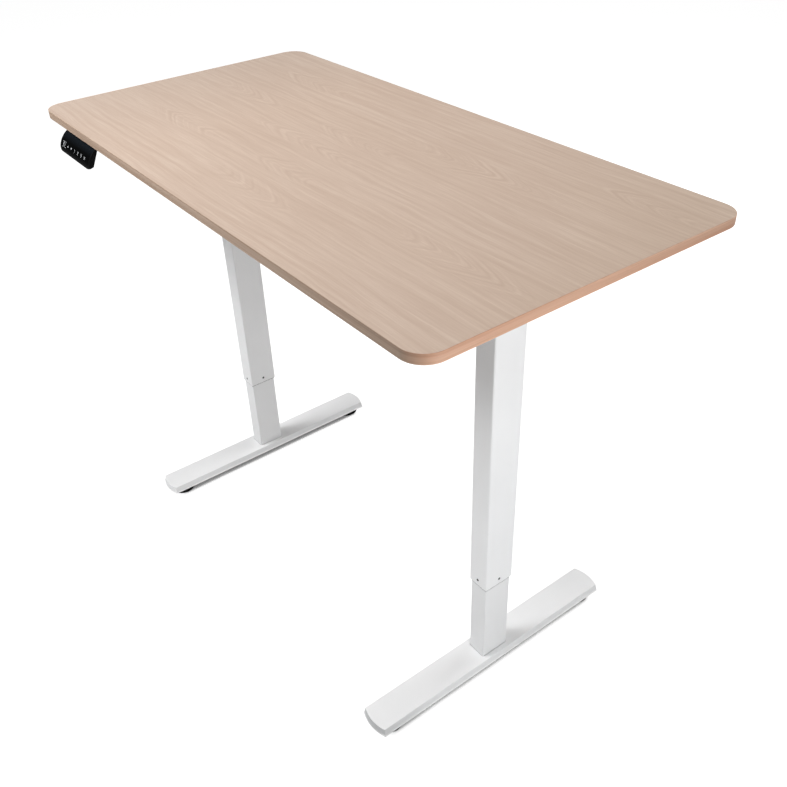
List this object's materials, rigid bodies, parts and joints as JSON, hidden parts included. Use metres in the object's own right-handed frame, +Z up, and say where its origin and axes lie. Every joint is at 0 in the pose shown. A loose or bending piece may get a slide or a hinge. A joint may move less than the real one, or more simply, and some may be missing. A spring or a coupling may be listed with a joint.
{
  "type": "height adjustable standing desk",
  "caption": "Height adjustable standing desk: a light wood board with rounded corners on a white steel frame with two telescopic columns, flat feet and a handset under the front edge.",
  "frame": {"origin": "on the floor, below the middle of the board", "axes": "+X along the board to the right of a user who sits at the front, +Y to the back, +Z up"},
  "size_m": [1.2, 0.6144, 0.91],
  "materials": {
    "laminate": "satin beech laminate",
    "edge_laminate": "satin",
    "white_steel": "satin powder coat",
    "zinc_steel": "zinc plated",
    "bright_steel": "ground",
    "bronze": "cut",
    "glide_plastic": "matte",
    "nut_plastic": "matte",
    "black_plastic": "fine grain",
    "motor_paint": "satin",
    "socket_plastic": "matte",
    "circuit": "solder mask",
    "gloss_black": "gloss",
    "pad_rubber": "matte"
  },
  "bodies": {
    "left_leg": {"left_foot": "white_steel", "left_base_plate": "zinc_steel", "left_foot_bolts": "zinc_steel", "left_lower_tube": "white_steel", "left_upper_glide": "glide_plastic", "left_drive_nut": "nut_plastic"},
    "top": {"desktop": "laminate", "edge_band": "edge_laminate", "desktop_screws": "zinc_steel", "left_side_bracket": "white_steel", "right_side_bracket": "white_steel", "front_cross_rail": "white_steel", "back_cross_rail": "white_steel", "left_head_frame": "white_steel", "right_head_frame": "white_steel", "frame_bolts": "zinc_steel", "left_upper_tube": "white_steel", "right_upper_tube": "white_steel", "left_lower_glide": "glide_plastic", "right_lower_glide": "glide_plastic", "left_gear_housing": "black_plastic", "right_gear_housing": "black_plastic", "left_thrust_bearing": "bright_steel", "right_thrust_bearing": "bright_steel", "motor_can": "motor_paint", "motor_gear_case": "black_plastic", "motor_gear_cover": "black_plastic", "control_box_base": "black_plastic", "control_box_cover": "black_plastic", "mains_inlet": "black_plastic", "control_board": "circuit", "lead_sockets": "socket_plastic", "handset_case": "black_plastic", "handset_panel": "gloss_black", "display_lens": "gloss_black", "handset_board": "circuit"},
    "right_leg": {"right_foot": "white_steel", "right_base_plate": "zinc_steel", "right_foot_bolts": "zinc_steel", "right_lower_tube": "white_steel", "right_upper_glide": "glide_plastic", "right_drive_nut": "nut_plastic"},
    "left_screw": {"left_lead_screw": "bright_steel", "left_bevel_gear": "bronze"},
    "right_screw": {"right_lead_screw": "bright_steel", "right_bevel_gear": "bronze"},
    "drive_shaft": {"cross_shaft": "bright_steel", "left_pinion": "bronze", "right_pinion": "bronze", "drive_wheel": "bronze"},
    "key_up_body": {"key_up": "gloss_black"},
    "key_down_body": {"key_down": "gloss_black"},
    "key_1_body": {"key_1": "gloss_black"},
    "key_2_body": {"key_2": "gloss_black"},
    "key_3_body": {"key_3": "gloss_black"},
    "key_memory_body": {"key_memory": "gloss_black"},
    "left_front_pad": {"left_front_levelling_foot": "pad_rubber"},
    "left_back_pad": {"left_back_levelling_foot": "pad_rubber"},
    "right_front_pad": {"right_front_levelling_foot": "pad_rubber"},
    "right_back_pad": {"right_back_levelling_foot": "pad_rubber"}
  },
  "joints": [
    {"name": "lift", "type": "slide", "parent": "left_leg", "child": "top", "axis": [0, 0, 1], "range_m": [-0.183, 0.267]},
    {"name": "right_leg_slide", "type": "slide", "parent": "top", "child": "right_leg", "axis": [0, 0, -1], "range_m": [-0.183, 0.267]},
    {"name": "left_screw_turn", "type": "hinge", "parent": "top", "child": "left_screw", "pos_m": [-0.42, 0, 0.6], "axis": [0, 0, 1], "range_deg": [-6700, 9700]},
    {"name": "right_screw_turn", "type": "hinge", "parent": "top", "child": "right_screw", "pos_m": [0.42, 0, 0.6], "axis": [0, 0, 1], "range_deg": [-9700, 6700]},
    {"name": "drive_shaft_turn", "type": "hinge", "parent": "top", "child": "drive_shaft", "pos_m": [0, 0, 0.8723], "axis": [1, 0, 0], "range_deg": [-6700, 9700]},
    {"name": "key_up_press", "type": "slide", "parent": "top", "child": "key_up_body", "axis": [0, 0.9063, -0.4226], "range_m": [0, 0.0005], "stiffness_N_per_m": 800, "springref_m": -0.0005},
    {"name": "key_down_press", "type": "slide", "parent": "top", "child": "key_down_body", "axis": [0, 0.9063, -0.4226], "range_m": [0, 0.0005], "stiffness_N_per_m": 800, "springref_m": -0.0005},
    {"name": "key_1_press", "type": "slide", "parent": "top", "child": "key_1_body", "axis": [0, 0.9063, -0.4226], "range_m": [0, 0.0005], "stiffness_N_per_m": 800, "springref_m": -0.0005},
    {"name": "key_2_press", "type": "slide", "parent": "top", "child": "key_2_body", "axis": [0, 0.9063, -0.4226], "range_m": [0, 0.0005], "stiffness_N_per_m": 800, "springref_m": -0.0005},
    {"name": "key_3_press", "type": "slide", "parent": "top", "child": "key_3_body", "axis": [0, 0.9063, -0.4226], "range_m": [0, 0.0005], "stiffness_N_per_m": 800, "springref_m": -0.0005},
    {"name": "key_memory_press", "type": "slide", "parent": "top", "child": "key_memory_body", "axis": [0, 0.9063, -0.4226], "range_m": [0, 0.0005], "stiffness_N_per_m": 800, "springref_m": -0.0005},
    {"name": "left_front_pad_screw_out", "type": "slide", "parent": "left_leg", "child": "left_front_pad", "axis": [0, 0, -1], "range_m": [0, 0.01]},
    {"name": "left_back_pad_screw_out", "type": "slide", "parent": "left_leg", "child": "left_back_pad", "axis": [0, 0, -1], "range_m": [0, 0.01]},
    {"name": "right_front_pad_screw_out", "type": "slide", "parent": "right_leg", "child": "right_front_pad", "axis": [0, 0, -1], "range_m": [0, 0.01]},
    {"name": "right_back_pad_screw_out", "type": "slide", "parent": "right_leg", "child": "right_back_pad", "axis": [0, 0, -1], "range_m": [0, 0.01]}
  ],
  "couplings": [
    {"joint": "right_leg_slide", "follows": "lift", "ratio": 1},
    {"joint": "left_screw_turn", "follows": "lift", "rad_per_m": 628.32},
    {"joint": "right_screw_turn", "follows": "lift", "rad_per_m": -628.32},
    {"joint": "drive_shaft_turn", "follows": "lift", "rad_per_m": 628.32}
  ]
}
